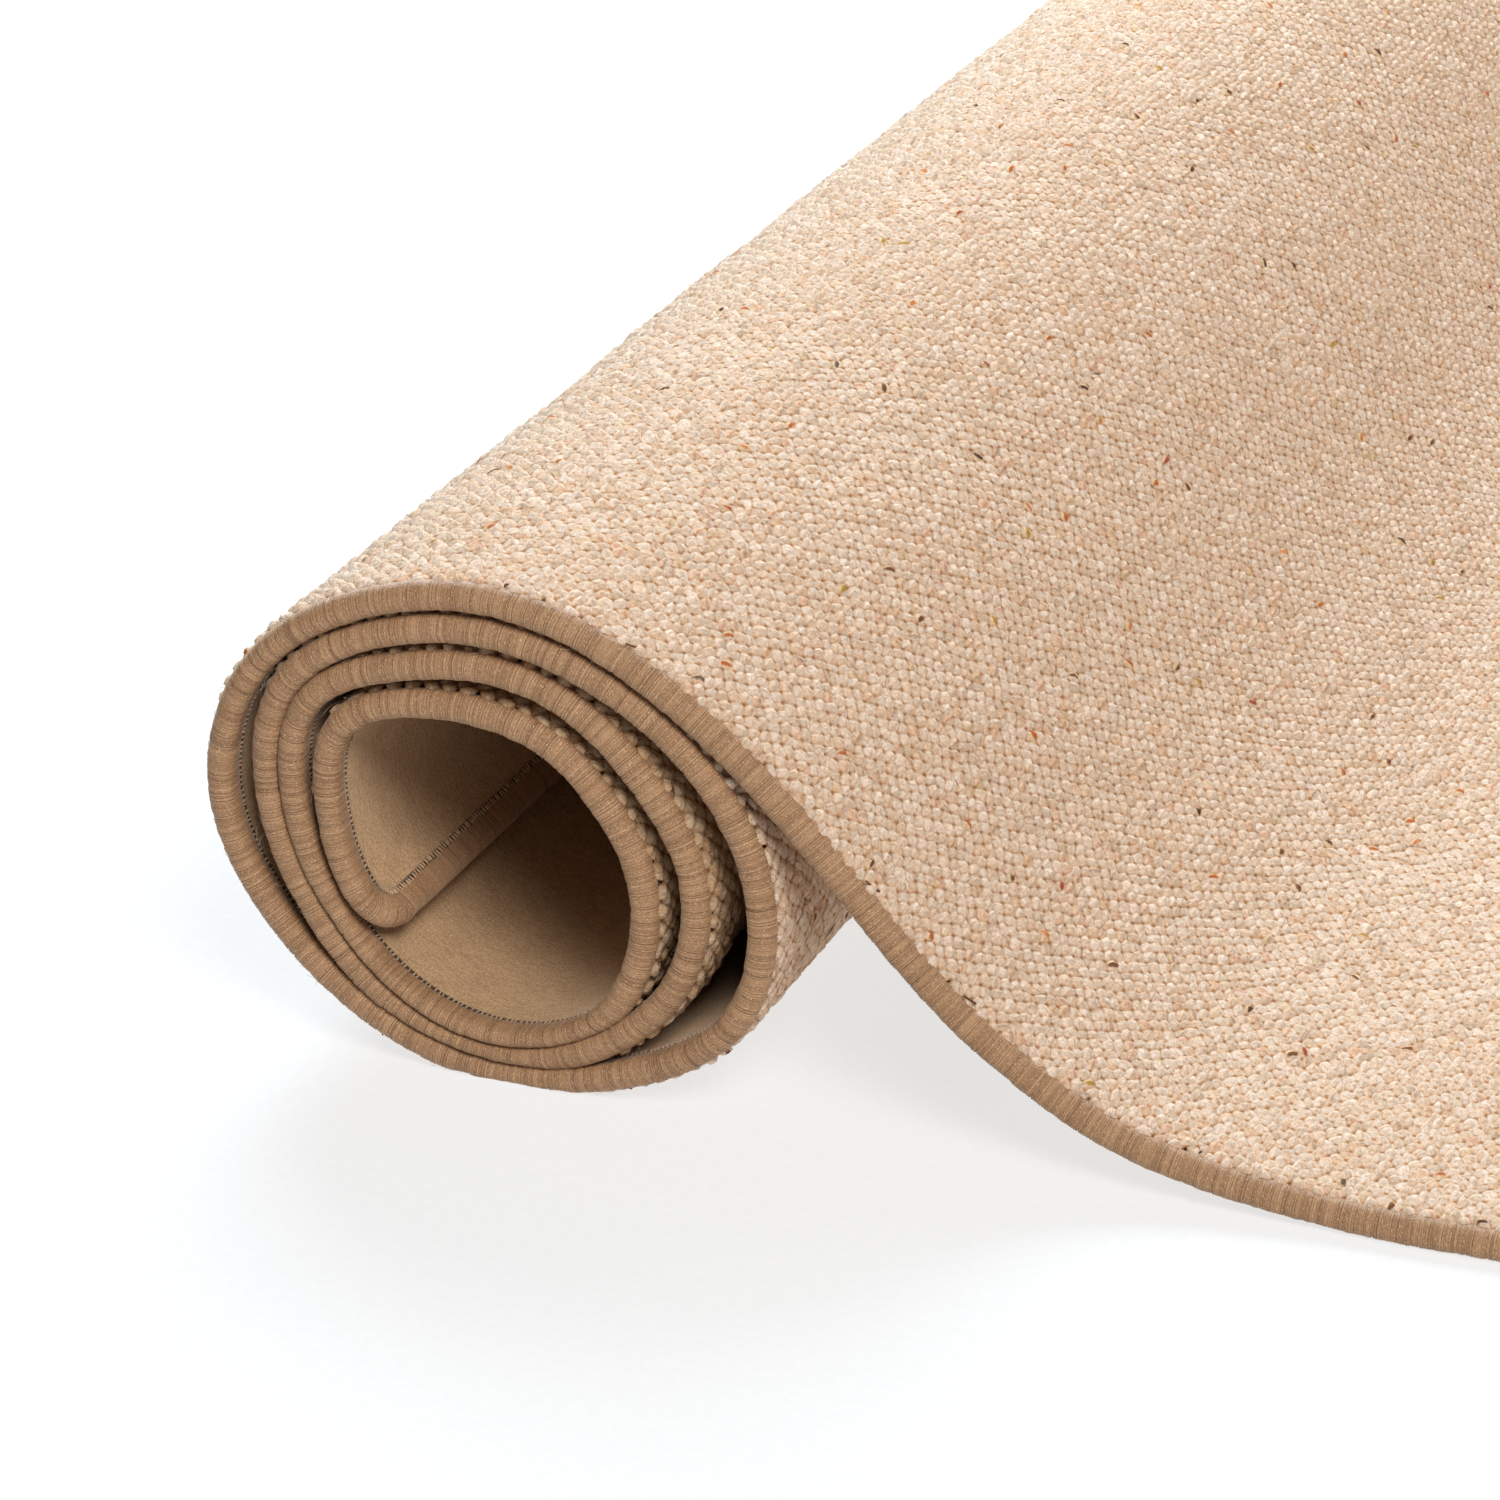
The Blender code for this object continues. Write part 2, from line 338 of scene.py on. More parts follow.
def carry(piece):
    """The piece rides on the one body."""
    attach(piece, "root")
    return piece


# ---------------- materials

# Settings that many nodes share: a smooth rise, two colours mixed, and a colour multiplied by a tint.
SMOOTH = {"interpolation_type": "SMOOTHSTEP"}
MIXED = {"data_type": "RGBA"}
TINTED = {"data_type": "RGBA", "blend_type": "MULTIPLY"}


def linear_colour(hex_code):
    """sRGB hex to linear red, green, blue and an opaque alpha."""
    values = [int(hex_code[i : i + 2], 16) / 255.0 for i in (1, 3, 5)]
    return (*(v / 12.92 if v <= 0.04045 else ((v + 0.055) / 1.055) ** 2.4 for v in values), 1.0)


def add_node(tree, kind, *inputs, output="", stops=(), **settings):
    """Adds a node with its settings and links, and gives its first output in use, or the one of that name.

    The inputs go to the sockets in use, in order: an output to link, a value or a hex colour to set, or None
    to leave. The stops are a ramp's, each a position with a hex colour or a grey. The kind of a node that
    calculates is followed by its operation.
    """
    kind, _, operation = kind.partition(" ")
    node = tree.nodes.new("ShaderNode" + kind)
    if operation:
        node.operation = operation
    for key, value in settings.items():
        setattr(node, key, value)
    for socket, value in zip([each for each in node.inputs if each.enabled], inputs):
        if isinstance(value, bpy.types.NodeSocket):
            tree.links.new(value, socket)
        elif value is not None:
            socket.default_value = linear_colour(value) if isinstance(value, str) else value
    for _ in stops[2:]:
        node.color_ramp.elements.new(0.5)
    for element, (position, colour) in zip(node.color_ramp.elements if stops else (), stops):
        element.position = position
        element.color = linear_colour(colour) if isinstance(colour, str) else (colour, colour, colour, 1.0)
    return next(each for each in node.outputs if each.enabled and output in ("", each.name))


def new_material(name, roughness, specular, sheen, sheen_roughness, sheen_tint):
    """A cloth material, its shader, and add_node for its tree.

    The values that are the same all over are set on the shader itself.
    """
    material = bpy.data.materials.new(name)
    material.use_nodes = True
    shader = material.node_tree.nodes["Principled BSDF"]
    for socket, value in (
        ("Roughness", roughness),
        ("Specular IOR Level", specular),
        ("Sheen Weight", sheen),
        ("Sheen Roughness", sheen_roughness),
        ("Sheen Tint", linear_colour(sheen_tint)),
    ):
        shader.inputs[socket].default_value = value
    return material, shader, functools.partial(add_node, material.node_tree)


def finish_shader(add, shader, colour, height, distance):
    """Links the colour, and a bump as high as height times distance."""
    links = shader.id_data.links
    links.new(colour, shader.inputs["Base Color"])
    links.new(add("Bump", 1.0, distance, None, height), shader.inputs["Normal"])


# The loop's crest points in one of four ways across the diamond. The UV map's U holds which, as a multiple of
# this.
CREST_STRIDE = 512.0

# The plies lie at this angle to the crest, in radians. Their groove snakes to each side by a share of the
# loop, with so many radians a loop, and the last share is its half width.
PLY_SLANT = 0.6
PLY_SNAKE = 0.07
PLY_TURNS = 5.0
GROOVE_WIDTH = 0.14

# The hairs' noise is stretched by these: across the ply, along it, and from one loop to the next.
HAIR_CELLS = (15.0, 4.0, 50.0)

# Many more loops are faintly dyed than strongly: this many times as many, with this share of the dye.
FAINT_FLECKS = 8.0
FAINT_DYE = 0.30

# How much light the painted shade leaves in the pit where four loops meet, and in the gap where two do.
PAINTED_PIT_LIGHT = 0.50
PAINTED_GAP_LIGHT = 0.84


def looped_wool_pile(settings, name="looped_wool_pile", painted_turn_shade="#FFFFFF"):
    """Heather wool spun in two plies and tufted in uncut loops.

    To the eye it is a bed of plump woolly knots in near creams, a soft slanting groove where the two plies of
    a knot meet, fine hairs along them, and a dark pit where four knots meet. The dark in the pits, in the
    gaps and in the groove is painted shade, multiplied into the colour. Here and there a dyed ply shows.
    Its UV map counts the loops: the whole part names a loop and the way its crest points, and the fraction is
    the place on it.
    """
    material, shader, add = new_material(name, 1.0, 0.05, 0.06, 0.6, "#FFF3E6")
    uv = add("UVMap", uv_map="cloth")
    loop = add("VectorMath FLOOR", uv)
    chance = add("TexWhiteNoise", loop, noise_dimensions="2D")
    other = add("SeparateColor", chance.node.outputs["Color"]).node.outputs
    column, row = add("SeparateXYZ", loop).node.outputs[:2]
    local = add("VectorMath FRACTION", uv)
    local = add("VectorMath SUBTRACT", local, (0.5, 0.5, 0.0))
    first, second = add("SeparateXYZ", add("VectorMath ABSOLUTE", local)).node.outputs[:2]

    # Way 0 points down the diamond, and each next way is an eighth of a turn on. The plies slant off the
    # crest.
    way = add("Math FLOOR", add("Math DIVIDE", column, CREST_STRIDE))
    slant = add("Math MULTIPLY_ADD", way, -0.25 * math.pi, 0.25 * math.pi + PLY_SLANT)
    turned = add("VectorRotate", local, (0, 0, 0), (0, 0, 1), slant)
    along, over = add("SeparateXYZ", turned).node.outputs[:2]
    snake = add("Math SINE", add("Math MULTIPLY", along, PLY_TURNS))
    ply = add("Math MULTIPLY_ADD", snake, PLY_SNAKE, over)
    groove = add("MapRange", add("Math ABSOLUTE", ply), 0.0, GROOVE_WIDTH, **SMOOTH)
    upper = add("Math GREATER_THAN", ply, 0.0)

    # Hairs lie along the ply, 0.2 mm thick. The fuzz over them comes in tufts of about 1 mm.
    hair_place = add("VectorMath MULTIPLY", add("CombineXYZ", ply, along, chance), HAIR_CELLS)
    hair = add("TexNoise", hair_place, 1.5, 2.0, 0.6)
    fuzz = add("TexNoise", add("TexCoord", output="Object"), 0.9 / MM, 2.0, 0.75)

    # Each ply has its own tint. Most are cream.
    ply_chance = add("TexWhiteNoise", add("CombineXYZ", column, row, upper), noise_dimensions="3D")
    colour = add("ValToRGB", ply_chance, stops=(
        (0.0, "#DCCBB8"), (0.12, "#EDDCCB"), (0.40, "#F4E7DB"), (0.66, "#EDDAC6"), (0.86, "#EBD5BF"),
        (0.96, "#ECD0B8"), (1.0, "#E6D2B3")))
    for value, stops in (
        (hair, ((0.28, "#DCCBBB"), (0.48, "#F6F0EA"), (0.70, 1.0))),
        (fuzz, ((0.30, 1.0), (0.50, "#F7F1EB"), (0.66, "#E4D5C6"))),
    ):
        colour = add("Mix", 1.0, colour, add("ValToRGB", value, stops=stops), **TINTED)

    # One loop in many carries a dyed ply: rust, ochre, dark brown, red or grey-brown. The dye lies along the
    # ply's middle, with a ragged outline.
    dyed = add("ValToRGB", other[2], stops=(
        (0.0, "#B9622A"), (0.26, "#CC7F48"), (0.42, "#744828"), (0.66, "#553620"), (0.76, "#B08838"),
        (0.88, "#A8503A"), (0.96, "#6B5A48")))
    dyed.node.color_ramp.interpolation = "CONSTANT"
    strong = add("Math GREATER_THAN", other[1], 1.0 - settings.fleck_share)
    faint = add("Math GREATER_THAN", other[1], 1.0 - FAINT_FLECKS * settings.fleck_share)
    over_square = add("Math MULTIPLY", ply, ply)
    along_square = add("Math MULTIPLY", along, along)
    spread = add("Math MULTIPLY", along_square, 4.0)
    spread = add("Math MULTIPLY_ADD", over_square, 17.0, spread)
    ragged = add("Math MULTIPLY_ADD", add("Math SUBTRACT", hair, 0.5), 1.6, spread)
    on_ply = add("MapRange", ragged, 1.1, 0.45, **SMOOTH)
    amount = add("Math MAXIMUM", strong, add("Math MULTIPLY", faint, FAINT_DYE))
    colour = add("Mix", add("Math MULTIPLY", amount, on_ply), colour, dyed, **MIXED)

    # Painted shade: dark pits where four knots meet, a faint line where two do, and a little in the ply
    # groove, turned to a warm brown by the ramp below.
    painted_pit_shade = add("MapRange", add("Math ADD", first, second), 0.62, 1.0, 1.0, PAINTED_PIT_LIGHT, **SMOOTH)
    side = add("Math MAXIMUM", first, second)
    gap = add("MapRange", side, 0.30, 0.54, 1.0, PAINTED_GAP_LIGHT, **SMOOTH)
    shade = add("Math MULTIPLY_ADD", groove, 0.10, 0.90)
    for light in (painted_pit_shade, gap):
        shade = add("Math MULTIPLY", shade, light)
    painted_shade_colour = add("ValToRGB", shade, stops=((0.25, "#7F5E3E"), (0.62, "#D6B692"), (0.97, 1.0)))
    # Multiplied in: the ramp's painted shade, then the painted shade between the turns, which is also
    # yellower.
    for tint in (painted_shade_colour, painted_turn_shade):
        colour = add("Mix", 1.0, colour, tint, **TINTED)

    height = add("Math MULTIPLY_ADD", hair, 0.9, add("Math MULTIPLY", groove, 0.5))
    finish_shader(add, shader, colour, height, 0.5 * MM)
    return material


def pressed_shaded_wool_pile(settings):
    """The same wool between the turns, where it is rubbed and pressed: a yellower fawn, darkened by painted
    shade where the turns lie close.
    """
    return looped_wool_pile(settings, "pressed_shaded_wool_pile", "#E3D9C6")


# Where the binding meets the stitches, and where it comes out from behind the pile, in millimetres round
# BEAD_SECTION, with the lengths over which the painted shade there fades.
CREASE_START = 23.4
CREASE_FADE = 0.6
TUCK_END = 3.6
TUCK_FADE = 1.3


def overcast_yarn():
    """Twisted polyamide yarn wound side by side over the cut edge on an overcasting machine.

    To the eye it is a tan bead of fine ribs, each thread a little lighter or darker than the next, with
    painted shade in a groove every few threads and small painted highlights where filaments would catch the
    light.
    Its UV map counts the threads along U. V is the way round the bead in millimetres.
    """
    material, shader, add = new_material("overcast_yarn", 0.62, 0.35, 0.25, 0.4, "#FFE9D2")
    uv = add("UVMap", uv_map="cloth")
    count, round_way = add("SeparateXYZ", uv).node.outputs[:2]
    chance = add("TexWhiteNoise", add("Math FLOOR", count), noise_dimensions="1D")
    # The thread's middle is 0 and its sides are 1.
    off = add("Math MULTIPLY_ADD", add("Math FRACT", count), 2.0, -1.0)
    off = add("Math ABSOLUTE", off)
    # Streaks run round the bead, three to a thread and about 2 mm long. The twist of the filaments slants
    # across them, on each thread in its own way. Threads bunch by twos and threes.
    streak = add("TexNoise", add("VectorMath MULTIPLY", uv, (3.2, 0.55, 0.0)), 1.0, 2.0, 0.6)
    twist_place = add(
        "CombineXYZ",
        add("Math MULTIPLY_ADD", round_way, 0.5, add("Math MULTIPLY", count, 2.2)),
        add("Math MULTIPLY", round_way, 1.1),
        add("Math MULTIPLY", chance, 30.0))
    twist = add("TexNoise", twist_place, 1.3, 2.0, 0.6)
    bunch = add("TexNoise", add("CombineXYZ", count), 0.42, 1.0)

    colour = add("ValToRGB", chance, stops=(
        (0.0, "#956F4F"), (0.3, "#A07957"), (0.7, "#AA825E"), (1.0, "#B48C68")))
    worn = add("ValToRGB", streak, stops=((0.32, 0.70), (0.52, 1.0), (0.8, 1.06)))
    colour = add("Mix", 1.0, colour, worn, **TINTED)
    # Painted shade darkens the groove between threads, deeply where they bunch.
    side = add("MapRange", off, 0.40, 1.0, **SMOOTH)
    deep = add("Math MULTIPLY", side, add("MapRange", bunch, 0.46, 0.60, 0.16, 0.68, **SMOOTH))
    # Mixed in, in turn: painted highlights where the twist is high, painted shade in the grooves, painted
    # shade where the bead comes out from behind the pile, and painted shade where it meets the stitches.
    for share, tint in (
        (add("MapRange", twist, 0.52, 0.72, **SMOOTH), "#D2B08A"),
        (deep, "#3A2516"),
        (add("MapRange", round_way, TUCK_END, TUCK_END - TUCK_FADE, **SMOOTH), "#62452D"),
        (add("MapRange", round_way, CREASE_START, CREASE_START + CREASE_FADE, **SMOOTH), "#3A2516"),
    ):
        colour = add("Mix", share, colour, tint, **MIXED)

    # A rib's height is the square root of one less the square of how far off its middle.
    square = add("Math MULTIPLY", off, off)
    rib = add("Math MAXIMUM", add("Math SUBTRACT", 1.0, square), 0.0)
    rib = add("Math SQRT", rib)
    height = add("Math MULTIPLY", rib, 0.35)
    for relief, share in ((streak, 0.4), (twist, 0.5)):
        height = add("Math MULTIPLY_ADD", relief, share, height)
    finish_shader(add, shader, colour, height, 0.22 * MM)
    return material


# The painted shade in the felt's crease beside the binding, in millimetres in from the edge: where it has
# faded out, and from where outwards it is darkest.
FELT_CREASE = (10.9, 9.9)


def needled_felt():
    """Needled synthetic felt, pressed smooth, that backs the carpet.

    To the eye it is a flat matt tan with a fine cloudy mottle and faint streaks along the length it was made
    in, and painted shade darkens the crease beside the binding, where the stitches pull it down. On the back,
    its UV map is the run and the across in millimetres.
    """
    material, shader, add = new_material("needled_felt", 1.0, 0.1, 0.3, 0.6, "#F3DFC4")
    uv = add("UVMap", uv_map="cloth")
    # Streaks are about 1 mm wide and 4 mm long, specks about 0.8 mm, and the cloudy mottle about 12 mm.
    streak = add("TexNoise", add("VectorMath MULTIPLY", uv, (0.25, 1.0, 0.0)), 0.9, 2.0, 0.6)
    speck = add("TexNoise", uv, 1.3, 2.0, 0.75)
    cloud = add("TexNoise", uv, 0.08, 2.0)
    colour = add("ValToRGB", speck, stops=(
        (0.30, "#9B7955"), (0.45, "#BD9872"), (0.56, "#CCA982"), (0.72, "#DCBE99")))
    for value, stops in ((streak, ((0.35, 0.78), (0.6, 1.0))), (cloud, ((0.3, 0.86), (0.7, 1.0)))):
        colour = add("Mix", 1.0, colour, add("ValToRGB", value, stops=stops), **TINTED)
    # Depth in from the nearest side: half the size, less how far off the middle.
    half = (0.5 * WINDING.length / MM, 0.5 * CARPET_WIDTH / MM, 0.0)
    off_middle = add("VectorMath ABSOLUTE", add("VectorMath SUBTRACT", uv, half))
    inwards = add("SeparateXYZ", add("VectorMath SUBTRACT", half, off_middle)).node.outputs[:2]
    # Painted shade in the crease beside the binding.
    painted_crease_shade = add("MapRange", add("Math MINIMUM", *inwards), *FELT_CREASE, **SMOOTH)
    colour = add("Mix", painted_crease_shade, colour, "#3B2818", **MIXED)
    finish_shader(add, shader, colour, add("Math MULTIPLY_ADD", streak, 0.5, speck), 0.18 * MM)
    return material


def plain_yarn(name, code, roughness, sheen):
    """A single yarn or hair: its colour wanders a little every 1.4 mm, from light to dark and back."""
    material, shader, add = new_material(name, roughness, 0.3, sheen, 0.4, "#FFFFFF")
    wander = add("TexNoise", add("TexCoord", output="Object"), 0.7 / MM, 2.0)
    colour = add("Mix", 1.0, code, add("ValToRGB", wander, stops=((0.3, 0.72), (0.65, 1.0))), **TINTED)
    finish_shader(add, shader, colour, wander, 0.08 * MM)
    return material


def seamless_paper(settings):
    """White background paper, rolled matt, with a grain of about 3 mm.

    It is lit until it is nearly white, so the shadows on it stay faint.
    """
    material, shader, add = new_material("seamless_paper", 1.0, 0.0, 0.0, 0.5, "#FFFFFF")
    grain = add("TexNoise", add("TexCoord", output="Object"), 0.3 / MM, 2.0)
    shader.inputs["Emission Color"].default_value = linear_colour("#FFFFFF")
    shader.inputs["Emission Strength"].default_value = settings.floor_glow
    finish_shader(add, shader, add("ValToRGB", grain, stops=((0.3, 0.19), (0.7, 0.21))), grain, 0.02 * MM)
    return material


# ---------------- settings


def length_setting(name, default, description, precision=4):
    """A setting that is a length, kept in metres."""
    return FloatProperty(
        name=name, description=description, default=default,
        subtype="DISTANCE", unit="LENGTH", precision=precision)


class CarpetSettings(PropertyGroup):
    """Sizes and colours of the carpet's dressing."""

    loop_along: length_setting(
        "Loop Spacing Along", 5.6 * MM, "Distance between loops in a row along the run")
    loop_across: length_setting(
        "Loop Spacing Across", 7.0 * MM, "Distance between loops in a row across the carpet")
    loop_top: length_setting("Loop Height", 9.4 * MM, "Mean height of the loops' tops above the back")
    loop_foot: length_setting("Loop Foot", 7.75 * MM, "Height above the back of the gaps between loops")
    fleck_share: FloatProperty(
        name="Fleck Share", description="Share of the loops that carry a strongly dyed ply",
        default=0.012, min=0.0, max=0.1, subtype="FACTOR")
    thread_pitch: length_setting(
        "Thread Pitch", 0.78 * MM, "Mean distance between threads on the overcast edge", precision=5)
    stitch_pitch: length_setting(
        "Stitch Pitch", 1.65 * MM, "Distance between stitches on the back of the edge", precision=5)
    floor_colour: FloatVectorProperty(
        name="Studio Colour", description="Colour of the light from all round",
        default=linear_colour("#FFFFFF")[:3], subtype="COLOR", size=3)
    floor_glow: FloatProperty(
        name="Floor Glow", description="Light that the floor gives by itself, so that shadows stay faint",
        default=0.72, min=0.0)
    key_power: FloatProperty(
        name="Key Power", description="Power that the three soft lights are shares or multiples of",
        default=49.0, min=0.0, subtype="POWER", unit="POWER")


def finish_made(make, *values):
    """The material called after its maker, or after the first value if that is a name, made only once."""
    name = values[0] if values and isinstance(values[0], str) else make.__name__
    return bpy.data.materials.get(name) or make(*values)


# ---------------- the pieces

WINDING = Winding()
EDGE = CutEdge(WINDING.length)

# The loops show on the outer turn and a little way under the run-out. On the inner turns they show only near
# the two ends of the roll.
SHOWN_RUN = 0.880
SHOWN_DEPTH = 0.028
BREADTHS = 5

# The binding covers the cloth to about this depth, and the loops' middles stand from there inwards.
BINDING_DEPTH = 6.5 * MM
BORDER_WANDER = 0.8 * MM

# Corners less deep than this go down behind the binding, to this height.
BORDER_TUCK = 5.8 * MM
BORDER_FOOT = 5.6 * MM

# From under the run-out inwards the loops are pressed together, and their low corners stand higher. This is
# by how much, and over which run it sets in.
PRESSED_RISE = 0.9 * MM
PRESSED_RUN = (0.64, 0.72)


def loop_places(settings, middles):
    """Run and across of the points p, q of the loop lattice, where loops stand at whole p and q.

    A step of p and a step of q both go half a spacing along, and they go opposite ways across.
    """
    run = 0.5 * settings.loop_along * (middles[..., 0] + middles[..., 1])
    across = 0.5 * settings.loop_across * (middles[..., 0] - middles[..., 1])
    return run, across


def loops_within(settings, run_range, across_range, depth_range):
    """Whole p and q of the loops in a range of run, of across and of depth from the cut edge."""
    spacing = settings.loop_along, settings.loop_across
    most = math.ceil(WINDING.length / spacing[0] + CARPET_WIDTH / spacing[1])
    least = -math.ceil(CARPET_WIDTH / spacing[1])
    p, q = np.meshgrid(np.arange(0, most), np.arange(least, most), indexing="ij")
    middles = np.stack([p.ravel(), q.ravel()], axis=1)
    run, across = loop_places(settings, middles)
    depth = depth_from_edge(run, across)
    depth += BORDER_WANDER * (scatter(*middles.T, 2.0) - 0.5)
    kept = (run >= run_range[0]) & (run < run_range[1]) & (across >= across_range[0])
    kept &= (across < across_range[1]) & (depth >= depth_range[0]) & (depth < depth_range[1])
    return middles[kept]


# The corners of a loop's diamond, where four loops meet, in the plane of p and q.
DIAMOND = np.array([(1, 1), (-1, 1), (-1, -1), (1, -1)])

# How far a low corner and a top stray, in steps of the lattice, and the share of the top's stray that the
# shoulder takes. The shoulder's share of the way out, and how much of it goes to being longer along the
# crest.
CORNER_STRAY = 0.38
TOP_STRAY = 0.30
SHOULDER_LEAN = 0.3
SHOULDER_REACH = 0.80
CREST_STRETCH = 0.14

# Up to how much the heights of corners, shoulders and tops differ by chance, the shoulder's share of the
# rise, and the height of the slow swell of the whole pile. The corners rise from behind the binding over
# TUCK_RUN.
CORNER_CHANCE = 1.3 * MM
SHOULDER_CHANCE = 0.7 * MM
TOP_CHANCE = 1.1 * MM
SHOULDER_RISE = 0.72
PILE_SWELL = 0.25 * MM
TUCK_RUN = 2.0 * MM

# The swell is one set of waves that runs askew and one straight across: longest, shortest, number and seed.
ASKEW = 0.4
SWELL_WAVES = ((0.31, 0.07, 4, 11), (0.42, 0.09, 4, 12))

# The UV map's corners stay this little inside their loop's diamond, so that none reads the next loop's
# chance.
INSIDE = 0.9998


def shaken(points, amount, seed):
    """A small random step in the plane for each lattice point, up to half of amount either way."""
    shares = [scatter(points[..., 0], points[..., 1], seed + part) for part in (0.0, 0.5)]
    return amount * (np.stack(shares, axis=-1) - 0.5)


def foot_height(settings, run):
    """Height of the loops' low corners at a run. It rises evenly to where the pile lies pressed."""
    pressed = np.clip((run - PRESSED_RUN[0]) / (PRESSED_RUN[1] - PRESSED_RUN[0]), 0.0, 1.0)
    return settings.loop_foot + PRESSED_RISE * pressed


def loop_bed(name, settings, middles, finish):
    """A bed of loops as one surface of diamonds, a loop in each.

    A loop is a dome over its diamond. It shares the four low corners with its neighbours. Its shoulder is a
    ring of four points most of the way to the diamond's sides, longer along the crest than across it. Its top
    is a little off its middle. Each point wanders by a random share.
    """
    count = len(middles)
    doubled = (2 * middles[:, None] + DIAMOND[None]).reshape(-1, 2)
    corner, corner_of = np.unique(doubled, axis=0, return_inverse=True)
    corner_of = corner_of.reshape(count, 4)
    corner_pq = 0.5 * corner + shaken(corner, CORNER_STRAY, 1.0)
    run, across = loop_places(settings, corner_pq)
    clear = np.clip((depth_from_edge(run, across) - BORDER_TUCK) / TUCK_RUN, 0.0, 1.0)
    corner_height = BORDER_FOOT + clear * (foot_height(settings, run) - BORDER_FOOT)
    corner_height += (scatter(*corner.T, 3.0) - 0.4) * CORNER_CHANCE

    way = np.floor(4.0 * scatter(*middles.T, 6.0))
    centre = corner_pq[corner_of].mean(axis=1)
    after = np.roll(corner_of, -1, axis=1)
    out = 0.5 * (corner_pq[corner_of] + corner_pq[after]) - centre[:, None]
    angle = np.arctan2(out[..., 1], out[..., 0])
    crest_angle = 0.25 * math.pi * (way - 1.0)
    lean = shaken(middles, TOP_STRAY, 7.0)
    reach = SHOULDER_REACH * (1.0 + CREST_STRETCH * np.cos(2.0 * (angle - crest_angle[:, None])))
    shoulder_pq = centre[:, None] + out * reach[..., None] + SHOULDER_LEAN * lean[:, None]
    top_pq = centre + lean

    run, across = loop_places(settings, middles)
    swell = waves(run + ASKEW * across, *SWELL_WAVES[0]) + waves(across, *SWELL_WAVES[1])
    chance = scatter(*middles.T, 5.0) - 0.5
    top_height = settings.loop_top + PILE_SWELL * swell + TOP_CHANCE * chance
    foot = foot_height(settings, run)
    shoulder_height = foot + SHOULDER_RISE * (top_height - foot)
    lifted = scatter(4.0 * middles[:, :1] + np.arange(4), middles[:, 1:], 8.0) - 0.5
    shoulder_height = shoulder_height[:, None] + lifted * SHOULDER_CHANCE

    flat = np.concatenate([corner_pq, shoulder_pq.reshape(-1, 2), top_pq])
    height = np.concatenate([corner_height, shoulder_height.ravel(), top_height])
    run, across = loop_places(settings, flat)
    points = WINDING.place(run, across, height, PILE_THICKNESS)

    # Twelve triangles a loop: eight between the corners and the shoulder, and four round the top.
    shoulder = len(corner) + 4 * np.arange(count)[:, None] + np.arange(4)[None]
    top = len(corner) + 4 * count + np.arange(count)[:, None]
    known = np.concatenate([corner_of, shoulder, top], axis=1)
    pattern = np.array([trio for i in range(4) for trio in (
        (i, (i + 1) % 4, 4 + i), ((i + 1) % 4, 4 + (i + 1) % 4, 4 + i), (4 + i, 4 + (i + 1) % 4, 8))])
    faces = known[:, pattern].reshape(-1, 3)
    # The UV map is the undisturbed lattice. A rim point belongs to four loops, so each face tells it its own.
    sides = 0.5 * (DIAMOND + np.roll(DIAMOND, -1, axis=0))
    steps = np.concatenate([INSIDE * DIAMOND, SHOULDER_REACH * sides, [(0, 0)]])
    cell = middles[:, None] + 0.5 + 0.5 * steps
    cell[..., 0] += CREST_STRIDE * way[:, None]
    uv = cell[:, pattern].reshape(-1, 2)
    piece = mesh_piece(name, points, faces.tolist(), [finish], corner_uv=uv)
    return carry(piece)


class CARPET_OT_pile(Operator):
    """Makes the bed of loops, in breadths on the outer turn and as two borders on the inner turns"""

    bl_idname = "carpet.pile"
    bl_label = "Loop Pile"

    def execute(self, context):
        settings = context.scene.carpet
        seams = np.linspace(0.0, CARPET_WIDTH, BREADTHS + 1)
        for i in range(BREADTHS):
            across = (seams[i], seams[i + 1])
            middles = loops_within(settings, (0.0, SHOWN_RUN), across, (BINDING_DEPTH, CARPET_WIDTH))
            loop_bed(f"pile_breadth_{i + 1}", settings, middles, finish_made(looped_wool_pile, settings))
        half = 0.5 * CARPET_WIDTH
        inner = (SHOWN_RUN, WINDING.length)
        for name, across in (("front", (0.0, half)), ("back", (half, CARPET_WIDTH))):
            middles = loops_within(settings, inner, across, (BINDING_DEPTH, SHOWN_DEPTH))
            loop_bed(f"pile_inner_{name}", settings, middles, finish_made(pressed_shaded_wool_pile, settings))
        return {"FINISHED"}


# The overcast bead's section, in millimetres: in from the edge, up from the back of the cloth. It starts
# under the pile and goes over the nose to the back. Its first point and its last two are pushed in and out by
# only a share of the relief.
BEAD_SECTION = (
    (8.4, 5.4), (7.4, 7.5), (5.7, 8.4), (3.7, 8.4), (2.0, 7.5), (0.7, 5.9), (0.0, 4.0), (0.3, 2.0),
    (1.3, 0.4), (3.1, -0.4), (6.0, -0.3), (8.9, 0.0), (9.4, 0.6))
SECTION_END_SHARES = ((0.3,), (0.4,), (0.0,))

# Threads stand out and grooves go in by about these. A groove whose chance is over DEEP_CHANCE goes in by up
# to DEEP_GROOVE more. The plain sides have a ring at each PLAIN_STEP.
THREAD_RISE = 0.06 * MM
GROOVE_DROP = 0.12 * MM
DEEP_GROOVE = 0.40 * MM
DEEP_CHANCE = 0.72
PLAIN_STEP = 1.7 * MM
UNEVEN_THREADS = 0.55

